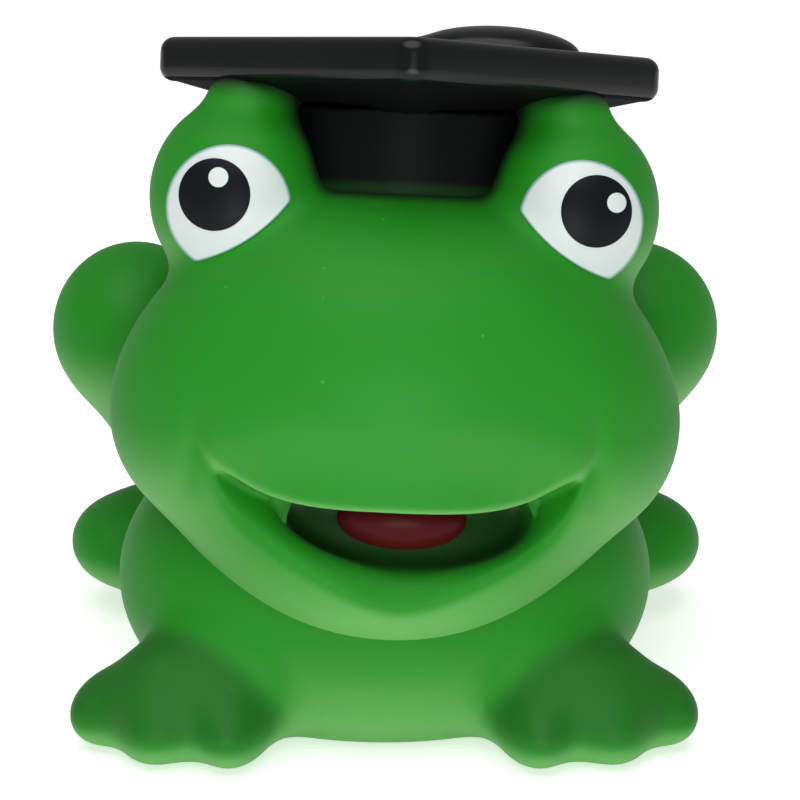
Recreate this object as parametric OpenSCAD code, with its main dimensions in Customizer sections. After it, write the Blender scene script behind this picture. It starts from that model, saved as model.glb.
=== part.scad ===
// Squeaky bath frog in a mortarboard: a hollow skin of soft vinyl with a press-in squeaker in its base.
// Millimetres. The origin is the middle of the squeaker hole, on the surface that the toy sits on.
// The frog faces -Y, with +Z up. The head has a frame of its own: its origin is the head's centre,
// and the frame tilts back and leans to one side with the head.

/* [Head] */
// How far the head's centre is above the torso's top
head_lift = 0.5; // [-1:0.5:3]
// How far the head's centre is in front of the squeaker hole
head_forward = 7; // [6:0.5:9]
// How far the head's centre is off to the side
head_sideways = 1.3; // [0:0.1:2]
// Backward tilt of the head, in degrees
head_tilt = 15; // [10:1:18]
// Sideways lean of the head, in degrees
head_lean = 2.6; // [0:0.2:4]
// Snout and brow, side to side
snout_w = 62; // [54:1:70]
// Snout and brow, front to back
snout_l = 52; // [46:1:58]
// Snout and brow, height
snout_h = 48; // [44:1:52]
// How far the snout's middle is in front of the head's centre
snout_forward = 4.5; // [3:0.5:6]
// How far the snout's middle is above the head's centre
snout_up = 6.5; // [5:0.5:8]
// One cheek, side to side
cheek_w = 33.2; // [30:0.2:37]
// One cheek, front to back
cheek_l = 35; // [30:1:40]
// One cheek, height
cheek_h = 30.4; // [26:0.2:33]
// Distance between the cheeks' middles
cheek_spacing = 38.4; // [34:0.2:42]
// How far the cheeks' middles are in front of the head's centre
cheek_forward = 3; // [1:0.5:5]
// How far the cheeks' middles are below the head's centre
cheek_down = 0.4; // [0:0.1:2]
// Lower jaw, side to side
jaw_w = 45.2; // [40:0.2:50]
// Lower jaw, front to back
jaw_l = 43.8; // [39:0.2:48]
// Lower jaw, height
jaw_h = 31.6; // [28:0.2:34]
// How far the jaw's middle is in front of the head's centre
jaw_forward = 3.4; // [2:0.2:5]
// How far the jaw's middle is below the head's centre
jaw_down = 13.8; // [13:0.2:16]
// Soft blend between snout, cheeks and jaw
head_blend = 9; // [6:0.5:11]

/* [Eyes] */
// One eye bulge, side to side
eye_bulge_w = 22.4; // [19:0.2:25]
// One eye bulge, front to back
eye_bulge_l = 24.8; // [21:0.2:28]
// One eye bulge, height
eye_bulge_h = 24.6; // [22:0.2:26]
// Distance between the eye bulges' middles
eye_spacing = 41.6; // [38:0.2:45]
// How far the eye bulges' middles are in front of the head's centre
eye_forward = 5.5; // [4:0.5:7]
// How far the eye bulges' middles are above the head's centre
eye_up = 27.3; // [26:0.1:28]
// Soft blend between an eye bulge and the brow
eye_blend = 3.5; // [2:0.5:5]
// Diameter of the white of an eye
eye_white_d = 15.6; // [13:0.2:17]
// Radius of the lower lid's edge
lid_r = 20.5; // [16:0.5:25]
// Distance from the white's middle to the lower lid's edge
lid_drop = 4.6; // [3.5:0.1:6]
// Direction of the lower lid from the white's middle, in degrees round the eye
lid_turn = 235; // [220:1:250]
// Diameter of a pupil
pupil_d = 8.9; // [7:0.1:9.5]
// Diameter of a glint
glint_d = 2.5; // [1.6:0.1:2.8]
// Thickness of the white pad
white_t = 0.35; // [0.25:0.05:0.5]
// Thickness of the pupil pad
pupil_t = 0.25; // [0.2:0.05:0.4]
// Thickness of a glint pad
glint_t = 0.2; // [0.15:0.05:0.3]

/* [Mouth] */
// Width of the mouth between its corners
mouth_w = 48; // [44:0.2:52]
// Distance of the upper lip's edge below the head's centre
lip_drop = 10; // [8.5:0.1:11.5]
// Width over which the smile is measured
smile_w = 48; // [42:1:54]
// Rise of the upper lip's edge at the ends of that width
smile_rise = 7.6; // [5:0.1:9]
// Distance of the lower lip's middle below the head's centre
lower_lip_drop = 22.6; // [21:0.1:24]
// Extra rise of the lower lip at the mouth's corners
corner_rise = 2; // [1:0.1:4]
// How far the lower lip's middle and the tongue are off to the side
mouth_sideways = 1.2; // [0:0.1:2]
// Distance of the mouth's back wall in front of the head's centre
mouth_back = 4; // [2:0.5:8]
// Rounding of the lips
lip_round = 1.3; // [0.8:0.1:2]
// Tongue, side to side
tongue_w = 15.6; // [13:0.2:18]
// Tongue, front to back
tongue_l = 11; // [9:0.5:13]
// Tongue, thickness of its full lump
tongue_h = 5.6; // [4.6:0.2:7]
// How far the tongue's middle is in front of the head's centre
tongue_forward = 18; // [17:0.5:19.5]
// How far the tongue's middle is below the head's centre
tongue_down = 12.6; // [12:0.1:13.5]

/* [Cap] */
// Diameter of the skull cap
crown_d = 31.6; // [27:0.2:34]
// How far the cap's middle is behind the head's centre
cap_back = 0.6; // [0:0.1:2]
// How far the skull cap's top is below the tops of the eye bulges
cap_sink = 0.8; // [0.2:0.1:1.4]
// Side of the square board
board_w = 46.6; // [40:0.2:52]
// Thickness of the board's rim
board_t = 5.6; // [4:0.1:7]
// Depth of the board's sloped underside below the rim
board_dish = 2.6; // [2:0.1:4]
// Rounding of the board's corners, seen from above
board_corner_r = 3; // [2:0.1:5]
// Rounding of the board's rim
board_edge_r = 1.8; // [1.2:0.1:1.9]
// Tassel bundle, along the board
tassel_l = 21; // [17:0.5:24]
// Tassel bundle, across
tassel_w = 13; // [10:0.5:15]
// Tassel bundle, height above the board
tassel_h = 3.2; // [2.4:0.1:4]
// Distance of the tassel's middle from the board's middle
tassel_out = 11; // [9:0.5:12]
// Diameter of the cap's button
button_d = 7; // [5.5:0.5:9]
// Height of the cap's button
button_h = 1.2; // [0.8:0.1:1.6]

/* [Torso] */
// How far the torso's middle is in front of the squeaker hole
torso_forward = 1; // [0:0.1:2]
// Torso, side to side
torso_w = 69.6; // [64:0.2:73]
// Torso, front to back
torso_l = 57; // [52:0.5:61]
// Torso, height of its full lump
torso_h = 46; // [42:0.5:50]
// Height of the torso lump's middle above the floor
torso_rise = 15.5; // [14:0.5:17]
// Neck, side to side
neck_w = 48; // [44:1:52]
// Neck, front to back
neck_l = 44; // [40:1:48]
// Neck, height of its full lump
neck_h = 24; // [20:1:28]
// How far the neck lump's middle is below the torso's top
neck_down = 8.5; // [6:0.5:11]
// How far the neck's middle is behind the torso's middle
neck_back = 1; // [0:0.5:3]
// Soft blend between torso and neck
neck_blend = 6; // [4:0.5:8]
// Thickness of the vinyl skin
skin_t = 2; // [1.6:0.1:2.4]
// Thickness of the vinyl round the squeaker hole
floor_t = 2.8; // [2.4:0.1:3.4]

/* [Front feet] */
// Ankle pad, side to side
foot_w = 23.2; // [21:0.2:26]
// Ankle pad, front to back
foot_l = 17; // [15:0.5:20]
// Ankle pad, height of its full lump
foot_h = 17.4; // [15:0.2:19]
// Distance between the two ankle pads' middles
foot_spacing = 47.6; // [45:0.2:52]
// How far the ankle pads' middles are in front of the squeaker hole
foot_forward = 22; // [20:0.5:24]
// Height of the ankle pads' middles above the floor
foot_rise = 6.4; // [5.4:0.2:7.4]
// Width of a toe
toe_w = 8.4; // [7:0.2:10]
// Length of a toe
toe_l = 12.6; // [11:0.2:14]
// Height of a toe
toe_h = 9; // [7.6:0.2:10]
// Soft blend between the toes
toe_blend = 3; // [2:0.2:4]

/* [Hind legs] */
// Knee, side to side
knee_w = 22.4; // [19:0.2:25]
// Knee, front to back
knee_l = 26; // [22:0.5:28]
// Knee, height
knee_h = 23; // [20:0.5:26]
// Distance between the two knees' middles
knee_spacing = 67.2; // [65:0.2:71]
// How far the knees' middles are behind the squeaker hole
knee_back = 21; // [20:0.5:23]
// Height of the knees' middles above the floor
knee_rise = 42.2; // [40:0.2:44]
// Thickness of the thigh
thigh_d = 21; // [18:0.5:23]
// Length of the thigh
thigh_l = 38; // [34:0.5:41]
// Distance between the two thighs' middles
thigh_spacing = 48; // [45:0.5:51]
// How far the thighs' middles are behind the squeaker hole
thigh_back = 26; // [25:0.5:27]
// Height of the thighs' middles above the floor
thigh_rise = 24; // [22:0.5:26]
// Outward lean of a thigh, in degrees
thigh_lean = 38; // [32:1:44]
// Forward tip of a thigh, in degrees
thigh_tip = 8; // [4:1:12]
// Soft blend between thigh and knee
knee_blend = 7; // [5:0.5:9]
// Hind foot, side to side
hind_foot_w = 15.8; // [14:0.2:18]
// Hind foot, front to back
hind_foot_l = 19; // [16:0.5:21]
// Hind foot, height
hind_foot_h = 12.4; // [11:0.2:14]
// Distance between the two hind feet's middles
hind_foot_spacing = 71.6; // [69:0.2:74]
// How far the hind feet's middles are behind the squeaker hole
hind_foot_back = 26.5; // [25:0.5:28]
// Height of the hind feet's middles above the floor
hind_foot_rise = 9.6; // [8.6:0.2:10.6]
// Diameter of a heel
heel_d = 18; // [16:0.5:20]
// How far a heel's middle is inside of its foot's middle
heel_inside = 7.8; // [6:0.2:9]
// Soft blend between heel and hind foot
heel_blend = 5; // [3:0.5:6]

/* [Squeaker] */
// Diameter of the hole in the base
hole_d = 16; // [14.5:0.1:18]
// Diameter of the recess round the hole
recess_d = 20.6; // [19.2:0.1:22]
// Depth of that recess
recess_depth = 1.2; // [1.1:0.1:1.5]
// Thickness of the housing's flange
flange_t = 0.9; // [0.7:0.05:1]
// Height of the housing above the flange
housing_h = 10.2; // [9:0.2:12]
// Wall of the housing
housing_t = 1.2; // [0.9:0.1:1.5]
// Thickness of the housing's top wall
housing_top_t = 2; // [1.6:0.1:2.4]
// How far the snap ring stands out from the housing
snap_out = 0.7; // [0.4:0.1:1]
// Height of the snap ring
snap_h = 1.2; // [0.8:0.1:1.6]
// Diameter of the bore that holds the reed's channel and wedge
reed_bore_d = 5; // [4.4:0.1:5.6]
// Diameter of the air channel
channel_d = 2.6; // [2:0.1:3]
// Length of the channel piece below the top wall
channel_drop = 5.8; // [5:0.1:6.2]
// Width of the reed
reed_w = 3.6; // [3:0.1:4]
// Thickness of the reed
reed_t = 0.15; // [0.12:0.01:0.2]
// Gap between the reed and the channel's flat side
reed_gap = 0.3; // [0.26:0.01:0.34]
// Thickness of the air cover
cover_t = 0.8; // [0.6:0.1:1]
// Diameter of one air hole
air_hole_d = 1.5; // [1.2:0.1:1.8]
// Number of air holes round the middle one
air_holes = 6; // [4:1:8]

/* [Hidden] */

// Clearances: between the skins of head and torso, between limbs and what they grow from, between a
// pressed-in piece and its seat, between reed and wedge, under the tongue and the eyes, and under each
// pad that lies on another
seam = 0.3;
limb_gap = 0.45;
press = 0.05;
reed_play = 0.12;
face_gap = 0.23;
paint_gap = 0.08;
// How far a cut runs past what it cuts
over = 1;

// Places of the lumps in the head's frame; a point's first number is its distance from the middle plane
snout_at = [0, -snout_forward, snout_up];
snout_size = [snout_w, snout_l, snout_h];
cheek_at = [cheek_spacing / 2, -cheek_forward, -cheek_down];
cheek_size = [cheek_w, cheek_l, cheek_h];
jaw_at = [0, -jaw_forward, -jaw_down];
jaw_size = [jaw_w, jaw_l, jaw_h];
eye_bulge_at = [eye_spacing / 2, -eye_forward, eye_up];
eye_bulge_size = [eye_bulge_w, eye_bulge_l, eye_bulge_h];
crown_top = eye_up + eye_bulge_h / 2 - cap_sink;
tongue_at = [mouth_sideways, -tongue_forward, -tongue_down];
tongue_size = [tongue_w, tongue_l, tongue_h];
torso_top = torso_rise + torso_h / 2;
head_at = [head_sideways, -head_forward, torso_top + head_lift];

// The mouth's form: slope of the lower lip from its middle, slope of the mouth's floor towards the back,
// softness of its corners, and roundings in shares of the lips' rounding
lip_slope_share = 0.64;
floor_slope_share = 1.25;
corner_soft_share = 0.8;
lip_middle_share = 4.2;
pocket_round_share = 1.15;
corner_round_share = 3.85;
back_round_share = 1.5;

// The white's middle, and the pupil's and glints' places, in shares of the sizes that they follow
white_place_share = [0.04, -0.064];
pupil_place_share = [0.11, 0.1];
right_glint_share = [0.27, 0.13];
left_glint_share = [-0.05, 0.24];

// Places of the lumps of body and legs
torso_at = [0, -torso_forward, torso_rise];
torso_size = [torso_w, torso_l, torso_h];
neck_at = [0, neck_back - torso_forward, torso_top - neck_down];
neck_size = [neck_w, neck_l, neck_h];
foot_at = [foot_spacing / 2, -foot_forward, foot_rise];
foot_size = [foot_w, foot_l, foot_h];
toe_size = [toe_w, toe_l, toe_h];
toe_turns = [12, -8, 28];
toe_place_shares = [[-0.213, -0.329], [0.237, -0.229], [0.487, 0.088]];
knee_at = [knee_spacing / 2, knee_back, knee_rise];
knee_size = [knee_w, knee_l, knee_h];
thigh_at = [thigh_spacing / 2, thigh_back, thigh_rise];
thigh_size = [thigh_d, thigh_d, thigh_l];
hind_foot_at = [hind_foot_spacing / 2, hind_foot_back, hind_foot_rise];
hind_foot_size = [hind_foot_w, hind_foot_l, hind_foot_h];
heel_at = hind_foot_at - [heel_inside, 0, 0];
heel_size = [heel_d, heel_d, heel_d];

// Points from which each soft form is measured outwards
torso_core = torso_at;
tongue_core = tongue_at + [0, -tongue_l / 8, tongue_h / 8];
foot_core = [foot_spacing / 2, -foot_forward - foot_l / 8, foot_rise * 4 / 5];
leg_core = (knee_at + thigh_at) / 2 + [0, thigh_d / 4, 0];
hind_foot_core = hind_foot_at - [heel_inside / 4, 0, 0];

// Squeaker levels above the floor
flange_bottom = recess_depth - flange_t;
housing_top = recess_depth + housing_h;
housing_d = hole_d - 2 * press;
cup_d = housing_d - 2 * housing_t;
ceiling = housing_top - housing_top_t;
reed_tip = ceiling - channel_drop + housing_t / 2;

// Counts: points round a form, rows over it, and the steps and halvings that find its skin
head_around = 72;
torso_around = 48;
front_foot_counts = [36, 14];
hind_leg_counts = [30, 15];
hind_foot_counts = [24, 11];
tongue_counts = [24, 9];
tassel_counts = [28, 9];
white_counts = [28, 3];
pupil_counts = [24, 2];
glint_counts = [16, 1];
looks = 8;
halvings = 12;
round_fn = 48;
corner_fn = 24;
edge_fn = 16;

// How much closer the points round the head stand at its face than at an even spacing
face_share = 0.35;

// Turns, in degrees, and where the seams' rings are searched for, low and high
full_turn = 360;
half_turn = 180;
quarter_turn = 90;
head_edge_search = [-80, 30];
torso_edge_search = [-10, 85];
lip_over_edge = 12;

green = [0.2, 0.58, 0.2];
black = [0.1, 0.11, 0.11];

// A soft form is a number for each point of space: below zero inside it, above zero outside.
// lump is an ellipsoid, melt joins two forms softly, meet keeps what both hold, without cuts one away.

function lump(p, middle, size) =
    let (q = p - middle,
         near = 2 * norm([q.x / size.x, q.y / size.y, q.z / size.z]),
         slope = 4 * norm([q.x / pow(size.x, 2), q.y / pow(size.y, 2), q.z / pow(size.z, 2)]))
    slope == 0 ? -min(size) / 2 : near * (near - 1) / slope;

function melt(a, b, reach) =
    let (shared = max(reach - abs(a - b), 0))
    min(a, b) - shared * shared / (4 * reach);

function meet(a, b, reach) = -melt(-a, -b, reach);

function without(a, b, reach) = meet(a, -b, reach);

function one_side(p) = [abs(p.x), p.y, p.z];

// Turn a point about Z, or about X and then Y, and back again

function turn_back(p, angle) =
    [p.x * cos(angle) + p.y * sin(angle), p.y * cos(angle) - p.x * sin(angle), p.z];

function lean_out(p, about_y, about_x) =
    let (a = [p.x, p.y * cos(about_x) - p.z * sin(about_x), p.y * sin(about_x) + p.z * cos(about_x)])
    [a.x * cos(about_y) + a.z * sin(about_y), a.y, a.z * cos(about_y) - a.x * sin(about_y)];

function lean_back(p, about_y, about_x) =
    let (a = [p.x * cos(about_y) - p.z * sin(about_y), p.y, p.x * sin(about_y) + p.z * cos(about_y)])
    [a.x, a.y * cos(about_x) + a.z * sin(about_x), a.z * cos(about_x) - a.y * sin(about_x)];

function into_head(p) = lean_back(p - head_at, head_lean, -head_tilt);

function from_head(q) = head_at + lean_out(q, head_lean, -head_tilt);

// The frog's soft forms

function head_skin(q) =
    let (m = one_side(q),
         face = melt(lump(q, snout_at, snout_size), lump(m, cheek_at, cheek_size), head_blend))
    melt(melt(face, lump(q, jaw_at, jaw_size), head_blend),
         lump(m, eye_bulge_at, eye_bulge_size), eye_blend);

function upper_lip(x) = smile_rise * pow(abs(x) / (smile_w / 2), 4) - lip_drop;

function lower_lip(x) =
    let (middle = lip_middle_share * lip_round,
         out = x - mouth_sideways)
    lip_slope_share * (norm([out, middle]) - middle) + corner_rise * pow(abs(out) / (mouth_w / 2), 6)
    - lower_lip_drop;

function mouth(q, skin) =
    let (under_lip = q.z - upper_lip(q.x),
         over_floor = (lower_lip(q.x) - floor_slope_share * skin - q.z) / norm([1, floor_slope_share]),
         in_corners = corner_soft_share * (abs(q.x) - mouth_w / 2),
         slot = meet(under_lip, over_floor, pocket_round_share * lip_round),
         wide = meet(slot, in_corners, corner_round_share * lip_round))
    meet(wide, q.y + mouth_back, back_round_share * lip_round);

function head_form(q) =
    let (skin = head_skin(q))
    without(skin, mouth(q, skin), lip_round);

function torso_form(p) =
    melt(lump(p, torso_at, torso_size), lump(p, neck_at, neck_size), neck_blend);

function toe(p, i) =
    let (share = toe_place_shares[i],
         middle = [foot_at.x + share.x * foot_w, foot_at.y + share.y * foot_l, toe_h / 2])
    lump(turn_back(p - middle, toe_turns[i]), [0, 0, 0], toe_size);

function toes(p, i) =
    i < 0 ? lump(p, foot_at, foot_size) : melt(toes(p, i - 1), toe(p, i), toe_blend);

function foot_form(p) = max(toes(p, len(toe_turns) - 1), limb_gap - torso_form(p));

function leg_form(p) =
    let (thigh = lump(lean_back(p - thigh_at, thigh_lean, thigh_tip), [0, 0, 0], thigh_size))
    max(melt(lump(p, knee_at, knee_size), thigh, knee_blend), -p.z);

function leg_by_torso(p) = max(leg_form(p), limb_gap - torso_form(p));

function hind_foot_form(p) =
    max(melt(lump(p, hind_foot_at, hind_foot_size), lump(p, heel_at, heel_size), heel_blend),
        -p.z, limb_gap - torso_form(p), limb_gap - leg_form(p));

function tongue_form(q) = max(lump(q, tongue_at, tongue_size), face_gap - head_form(q));

function tassel_form(q) =
    let (base = board_top(),
         bundle = lump(q, [tassel_out, cap_back, base], [tassel_l, tassel_w, 2 * tassel_h]),
         button = lump(q, [0, cap_back, base], [button_d, button_d, 2 * button_h]))
    max(melt(bundle, button, button_h), base - q.z);

// Where a line that starts inside a form leaves it, searched by halving. first_edge looks along the
// line in even steps first, for a form that a line may leave and enter again.

function leave(form, start, way, near, far, left) =
    let (half = (near + far) / 2)
    left == 0 ? half
    : form(start + half * way) < 0 ? leave(form, start, way, half, far, left - 1)
    : leave(form, start, way, near, half, left - 1);

function edge_of(form, start, way, far) = start + leave(form, start, way, 0, far, halvings) * way;

function first_out(form, start, way, far, look) =
    look == looks || form(start + far * look / looks * way) > 0 ? look
    : first_out(form, start, way, far, look + 1);

function first_edge(form, start, way, far) =
    let (look = first_out(form, start, way, far, 1))
    start + leave(form, start, way, far * (look - 1) / looks, far * look / looks, halvings) * way;

function heading(around, up) = [cos(up) * cos(around), cos(up) * sin(around), sin(up)];

function turns(count) = [for (k = [0 : count - 1]) full_turn * k / count];

// Meshes from rings of points: skin_of closes a row of rings with a point at each end,
// loop_of joins the last ring to the first. Each four-sided patch is split along its shorter diagonal.

function patch(points, a, b, c, d) =
    norm(points[a] - points[c]) < norm(points[b] - points[d])
    ? [[a, b, c], [a, c, d]]
    : [[a, b, d], [b, c, d]];

function band(points, a, b, n) =
    [for (k = [0 : n - 1])
        let (l = (k + 1) % n)
        each patch(points, a * n + k, a * n + l, b * n + l, b * n + k)];

module skin_of(first, rings, last) {
    n = len(rings[0]);
    rows = len(rings);
    points = concat([for (ring = rings) each ring], [first, last]);
    faces = concat(
        [for (k = [0 : n - 1]) [rows * n, (k + 1) % n, k]],
        [for (i = [0 : rows - 2]) each band(points, i, i + 1, n)],
        [for (k = [0 : n - 1]) [(rows - 1) * n + k, (rows - 1) * n + (k + 1) % n, rows * n + 1]]);
    polyhedron(points, faces, convexity = 10);
}

module loop_of(rings) {
    n = len(rings[0]);
    rows = len(rings);
    points = [for (ring = rings) each ring];
    faces = [for (i = [0 : rows - 1]) each band(points, i, (i + 1) % rows, n)];
    polyhedron(points, faces, convexity = 10);
}

// A soft form all round a point inside it; counts holds its points round and its rows
module whole(form, core, far, counts) {
    rows = counts[1];
    rings = [for (i = [1 : rows])
        let (up = quarter_turn - half_turn * i / (rows + 1))
        [for (around = turns(counts[0])) first_edge(form, core, heading(around, up), far)]];
    skin_of(first_edge(form, core, [0, 0, 1], far), rings, first_edge(form, core, [0, 0, -1], far));
}

// A soft form that stands on the floor, flat there
module standing(form, core, far, counts) {
    rows = counts[1];
    under = [core.x, core.y, 0];
    floor_ring = [for (around = turns(counts[0])) first_edge(form, under, heading(around, 0), far)];
    rings = [for (i = [1 : rows])
        [for (k = [0 : counts[0] - 1])
            let (low = -atan2(core.z, norm(floor_ring[k] - under)),
                 up = quarter_turn + (low - quarter_turn) * i / (rows + 1),
                 way = heading(full_turn * k / counts[0], up))
            first_edge(form, core, way, far)]];
    inside_ring = [for (p = floor_ring) (p + under) / 2];
    skin_of(first_edge(form, core, [0, 0, 1], far), concat(rings, [floor_ring, inside_ring]), under);
}

module on_head() {
    translate(head_at) rotate([0, head_lean, 0]) rotate([-head_tilt, 0, 0]) children();
}

module other_side() {
    mirror([1, 0, 0]) children();
}

// Height of the direction in which the head's skin comes out of the torso, and of that in which the
// torso's skin comes out of the head; both are searched by halving from inside to outside

function head_edge(around, low, high, left) =
    let (half = (low + high) / 2,
         p = from_head(edge_of(function(q) head_skin(q), [0, 0, 0], heading(around, half), snout_w)))
    left == 0 ? high
    : torso_form(p) < seam / 2 ? head_edge(around, half, high, left - 1)
    : head_edge(around, low, half, left - 1);

function torso_edge(around, low, high, left) =
    let (half = (low + high) / 2,
         p = edge_of(function(p) torso_form(p), torso_core, heading(around, half), torso_w))
    left == 0 ? low
    : head_skin(into_head(p)) < seam / 2 ? torso_edge(around, low, half, left - 1)
    : torso_edge(around, half, high, left - 1);

// Height of the direction of the upper lip's edge
function lip_edge(around) =
    let (p = edge_of(function(q) head_skin(q), [0, 0, 0], heading(around, -head_tilt), snout_w))
    atan2(upper_lip(min(abs(p.x), mouth_w / 2)), norm([p.x, p.y]));

// Rows of directions over the head: close together at the upper lip's edge
function head_rows(around) =
    let (low = head_edge(around, head_edge_search[0], head_edge_search[1], halvings),
         lip = max(lip_edge(around), low + lip_over_edge))
    concat([for (share = head_low_shares) lip + (low - lip) * share],
           [for (share = head_high_shares) lip + (quarter_turn - lip) * share]);

head_low_shares = [1, 0.93, 0.86, 0.79, 0.72, 0.66, 0.6, 0.54, 0.48, 0.42, 0.36, 0.3, 0.24, 0.18, 0.12, 0.07,
                   0.03, 0.01];
head_high_shares = [0.004, 0.015, 0.04, 0.075, 0.11, 0.145, 0.18, 0.215, 0.25, 0.285, 0.32, 0.355, 0.39,
                    0.425,
                    0.46, 0.495, 0.53, 0.565, 0.6, 0.635, 0.67, 0.705, 0.74, 0.775, 0.81, 0.85, 0.9, 0.95];

module head_shell() {
    spots = [for (around = turns(head_around)) around - face_share * half_turn / PI * cos(around)];
    rows = [for (around = spots) head_rows(around)];
    last = len(rows[0]) - 1;
    outer = [for (i = [last : -1 : 0])
        [for (k = [0 : head_around - 1])
            edge_of(function(q) head_form(q), [0, 0, 0], heading(spots[k], rows[k][i]), snout_w)]];
    inner = [for (i = concat([for (i = [0 : 5 : last - 5]) i], [last]))
        [for (k = [0 : head_around - 1])
            edge_of(function(q) head_form(q) + skin_t, [0, 0, 0], heading(spots[k], rows[k][i]), snout_w)]];
    top = edge_of(function(q) head_form(q), [0, 0, 0], [0, 0, 1], snout_w);
    inner_top = edge_of(function(q) head_form(q) + skin_t, [0, 0, 0], [0, 0, 1], snout_w);
    color(green) on_head() skin_of(top, concat(outer, inner), inner_top);
}

// A thin pad on the head's skin: rings from its middle out to its rim on the outside, and back inside
module pad(middle, reach, low, high, counts) {
    rows = counts[1];
    function spot(angle, share, lift) =
        let (x = middle.x + share * reach(angle) * cos(angle),
             z = middle.y + share * reach(angle) * sin(angle))
        edge_of(function(q) head_skin(q) - lift, [x, -eye_forward, z], [0, -1, 0], snout_l);
    outer = [for (i = [1 : rows]) [for (angle = turns(counts[0])) spot(angle, i / rows, high)]];
    inner = [for (i = [rows : -1 : 1]) [for (angle = turns(counts[0])) spot(angle, i / rows, low)]];
    skin_of(spot(0, 0, high), concat(outer, inner), spot(0, 0, low));
}

// The middle of the right eye's white; its outline is a circle that the lower lid's longer arc cuts off
white_at = [eye_bulge_at.x + white_place_share.x * eye_bulge_w,
            eye_bulge_at.z + white_place_share.y * eye_bulge_h];

function white_reach(angle) =
    let (away = lid_r - lid_drop,
         along = away * cos(angle - lid_turn))
    min(eye_white_d / 2, sqrt(pow(along, 2) - pow(away, 2) + pow(lid_r, 2)) - along);

pupil_at = white_at + [pupil_place_share.x * eye_white_d, pupil_place_share.y * eye_white_d];
white_low = face_gap;
white_high = white_low + white_t;
pupil_low = white_high + paint_gap;
pupil_high = pupil_low + pupil_t;
glint_low = pupil_high + paint_gap;
glint_high = glint_low + glint_t;

module eye_white() {
    color("white") pad(white_at, function(angle) white_reach(angle), white_low, white_high, white_counts);
}

module pupil() {
    color(black) pad(pupil_at, function(angle) pupil_d / 2, pupil_low, pupil_high, pupil_counts);
}

module glint(share) {
    color("white")
        pad(pupil_at + share * pupil_d, function(angle) glint_d / 2, glint_low, glint_high, glint_counts);
}

module right_eye_white() {
    on_head() eye_white();
}

module left_eye_white() {
    on_head() other_side() eye_white();
}

module right_pupil() {
    on_head() pupil();
}

module left_pupil() {
    on_head() other_side() pupil();
}

module right_eye_glint() {
    on_head() glint(right_glint_share);
}

module left_eye_glint() {
    on_head() other_side() glint(left_glint_share);
}

module tongue() {
    color([0.4, 0.1, 0.12]) on_head()
        whole(function(q) tongue_form(q), tongue_core, tongue_w, tongue_counts);
}

// The skull cap stands on the brow between the eye bulges, and the board lies on its flat top
module cap_crown() {
    rows = 6;
    function foot_of(angle, share) =
        let (start = [share * crown_d / 2 * cos(angle), cap_back + share * crown_d / 2 * sin(angle), 0])
        edge_of(function(q) head_skin(q) - seam, start, [0, 0, 1], crown_top);
    function top_of(angle, share) =
        [share * crown_d / 2 * cos(angle), cap_back + share * crown_d / 2 * sin(angle), crown_top];
    top = [for (share = [1 / 2, 1]) [for (angle = turns(round_fn)) top_of(angle, share)]];
    foot = [for (i = [rows : -1 : 1]) [for (angle = turns(round_fn)) foot_of(angle, i / rows)]];
    color(black) on_head() skin_of([0, cap_back, crown_top], concat(top, foot), foot_of(0, 0));
}

function board_bottom() = crown_top + board_dish;

function board_top() = board_bottom() + board_t;

module board_corner(level) {
    translate([board_w / 2 - board_corner_r, board_w / 2 - board_corner_r, level])
        rotate_extrude($fn = corner_fn) intersection() {
            translate([board_corner_r - board_edge_r, 0]) circle(board_edge_r, $fn = edge_fn);
            translate([0, -board_edge_r]) square([board_corner_r, 2 * board_edge_r]);
        }
}

module cap_board() {
    color(black) on_head() translate([0, cap_back, 0]) hull() {
        for (i = [0 : 3]) rotate(quarter_turn * (i + 1 / 2)) {
            board_corner(board_bottom() + board_edge_r);
            board_corner(board_top() - board_edge_r);
        }
        translate([0, 0, crown_top]) cylinder(board_dish, d = crown_d, $fn = round_fn);
    }
}

module cap_tassel() {
    core = [tassel_out / 2, cap_back, board_top() + button_h / 4];
    color(black) on_head() whole(function(q) tassel_form(q), core, tassel_l, tassel_counts);
}

// Torso: outside from the seam under the head down to the flat base, through the squeaker hole, and
// back up inside
module torso_shell() {
    outer_rows = 14;
    inner_rows = 8;
    spots = turns(torso_around);
    edges = [for (around = spots) torso_edge(around, torso_edge_search[0], torso_edge_search[1], halvings)];
    under = [torso_core.x, torso_core.y, 0];
    feet = [for (around = spots) edge_of(function(p) torso_form(p), under, heading(around, 0), torso_w)];
    foot_ups = [for (p = feet) -atan2(torso_core.z, norm(p - under))];
    outer = [for (i = [0 : outer_rows - 1])
        [for (k = [0 : torso_around - 1])
            let (way = heading(spots[k], edges[k] + (foot_ups[k] - edges[k]) * i / outer_rows))
            edge_of(function(p) torso_form(p), torso_core, way, torso_w)]];
    low_in = [for (k = [0 : torso_around - 1]) -atan2(torso_core.z - floor_t, recess_d / 2)];
    inner = [for (i = [0 : inner_rows])
        [for (k = [0 : torso_around - 1])
            let (way = heading(spots[k], low_in[k] + (edges[k] - low_in[k]) * i / inner_rows))
            edge_of(function(p) max(torso_form(p) + skin_t, floor_t - p.z), torso_core, way, torso_w)]];
    function ring(d, level) = [for (around = spots) [d / 2 * cos(around), d / 2 * sin(around), level]];
    color(green)
        loop_of(concat(outer, [feet, ring(recess_d, 0), ring(recess_d, recess_depth),
                               ring(hole_d, recess_depth), ring(hole_d, floor_t)], inner));
}

module right_front_foot() {
    color(green) standing(function(p) foot_form(p), foot_core, foot_w, front_foot_counts);
}

module left_front_foot() {
    other_side() right_front_foot();
}

module right_hind_leg() {
    color(green) whole(function(p) leg_by_torso(p), leg_core, thigh_l, hind_leg_counts);
}

module left_hind_leg() {
    other_side() right_hind_leg();
}

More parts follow.
